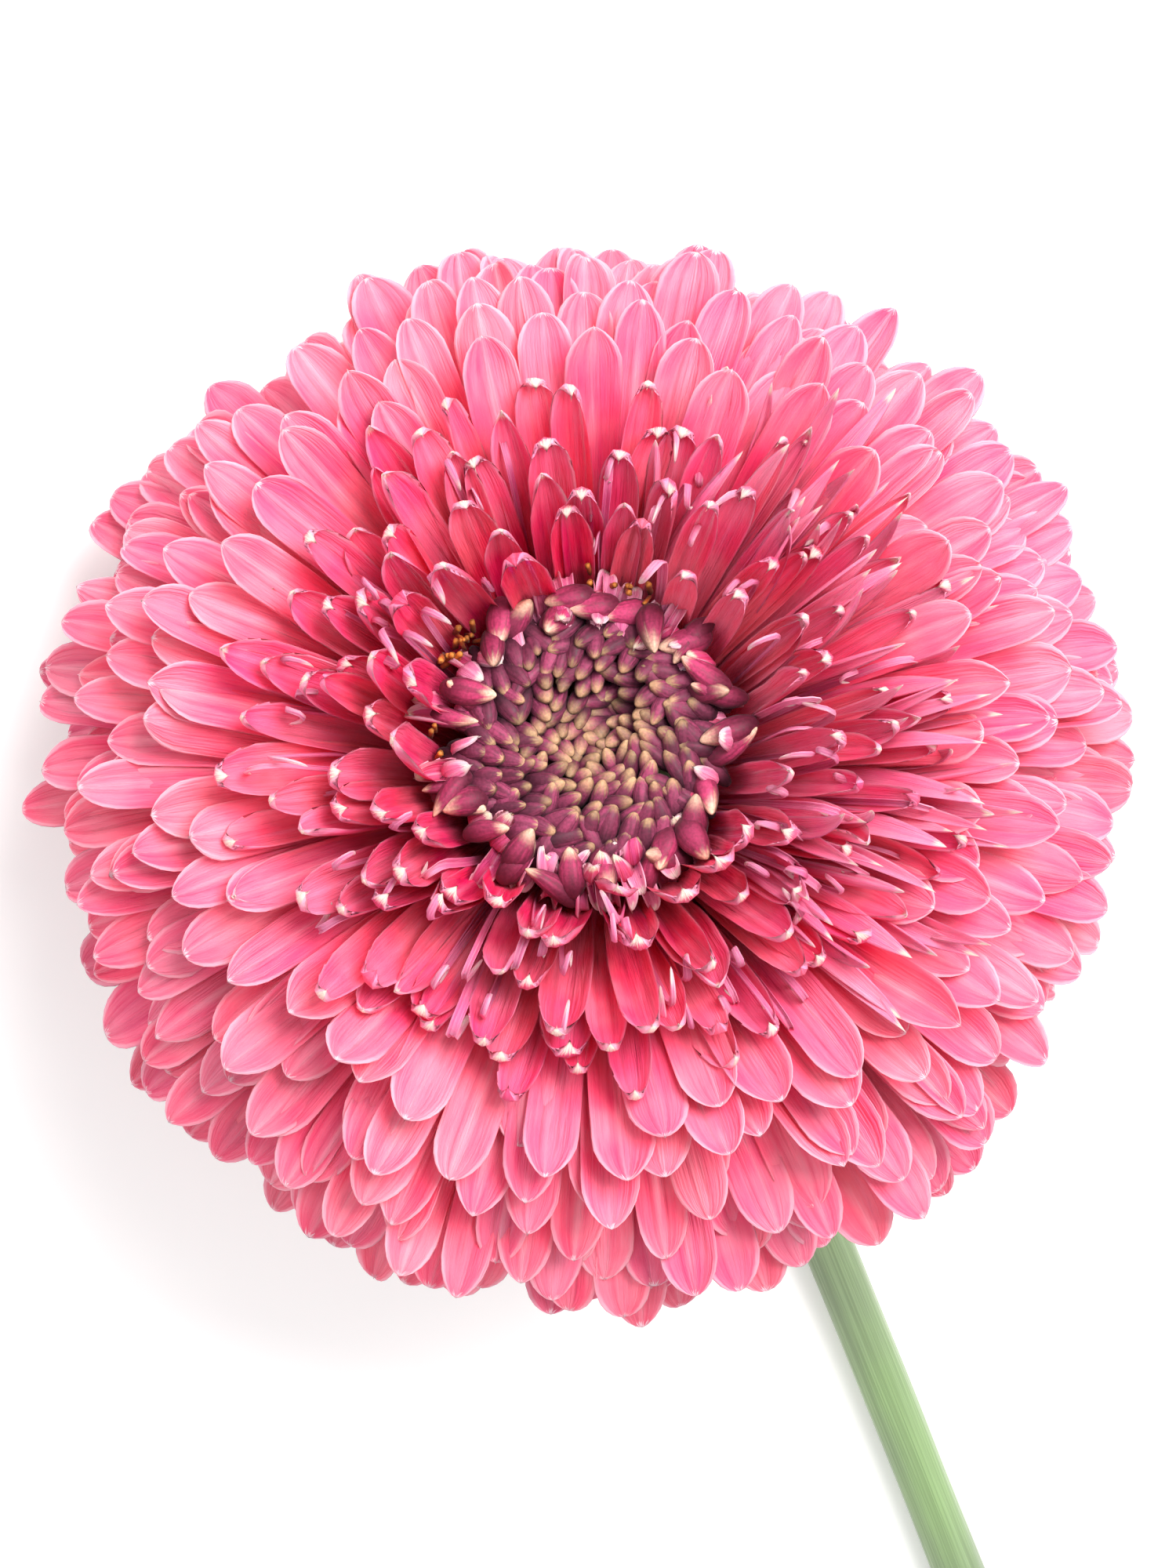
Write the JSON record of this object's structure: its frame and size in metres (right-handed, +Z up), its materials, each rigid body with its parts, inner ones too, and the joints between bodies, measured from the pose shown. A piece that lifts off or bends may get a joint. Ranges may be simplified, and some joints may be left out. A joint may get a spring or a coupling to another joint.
{
  "type": "cut gerbera",
  "caption": "Fully double pink gerbera flower, cut, lying on its bare green stem with its face up.",
  "frame": {"origin": "middle of the flower's box, on the surface that it lies on", "axes": "+Z up from the surface, +Y along the stem from its cut end towards the head, +X across"},
  "size_m": [0.1064, 0.351, 0.07],
  "materials": {
    "stem_green": "satin",
    "bract_green": "matte",
    "receptacle_flesh": "matte",
    "eye_mauve": "matte",
    "floret_crimson": "satin",
    "ray_pink": "satin",
    "ray_dusky": "satin"
  },
  "bodies": {
    "root": {"stem": "stem_green", "receptacle": "receptacle_flesh", "disc_florets": "eye_mauve", "inner_florets": "floret_crimson", "middle_florets": "floret_crimson", "outer_florets": "floret_crimson", "inner_bracts": "bract_green", "outer_bracts": "bract_green", "ray_front_01": "ray_pink", "ray_front_02": "ray_pink", "ray_front_03": "ray_pink", "ray_front_04": "ray_pink", "ray_front_05": "ray_pink", "ray_front_06": "ray_pink", "ray_front_07": "ray_pink", "ray_front_08": "ray_pink", "ray_front_09": "ray_pink", "ray_front_10": "ray_pink", "ray_front_11": "ray_pink", "ray_front_12": "ray_pink", "ray_middle_01": "ray_pink", "ray_middle_02": "ray_pink", "ray_middle_03": "ray_pink", "ray_middle_04": "ray_pink", "ray_middle_05": "ray_pink", "ray_middle_06": "ray_pink", "ray_middle_07": "ray_pink", "ray_middle_08": "ray_pink", "ray_middle_09": "ray_pink", "ray_middle_10": "ray_pink", "ray_middle_11": "ray_pink", "ray_middle_12": "ray_pink", "ray_back_01": "ray_pink", "ray_back_02": "ray_pink", "ray_back_03": "ray_pink", "ray_back_04": "ray_pink", "ray_back_05": "ray_pink", "ray_back_06": "ray_pink", "ray_back_07": "ray_pink", "ray_back_08": "ray_pink", "ray_back_09": "ray_pink", "ray_back_10": "ray_pink", "ray_back_11": "ray_pink", "ray_back_12": "ray_pink", "ray_under_01": "ray_dusky", "ray_under_02": "ray_dusky", "ray_under_03": "ray_dusky", "ray_under_04": "ray_dusky", "ray_under_05": "ray_dusky", "ray_under_06": "ray_dusky", "ray_under_07": "ray_dusky", "ray_under_08": "ray_dusky", "ray_under_09": "ray_dusky", "ray_under_10": "ray_dusky", "ray_under_11": "ray_dusky", "ray_under_12": "ray_dusky"}
  },
  "joints": []
}
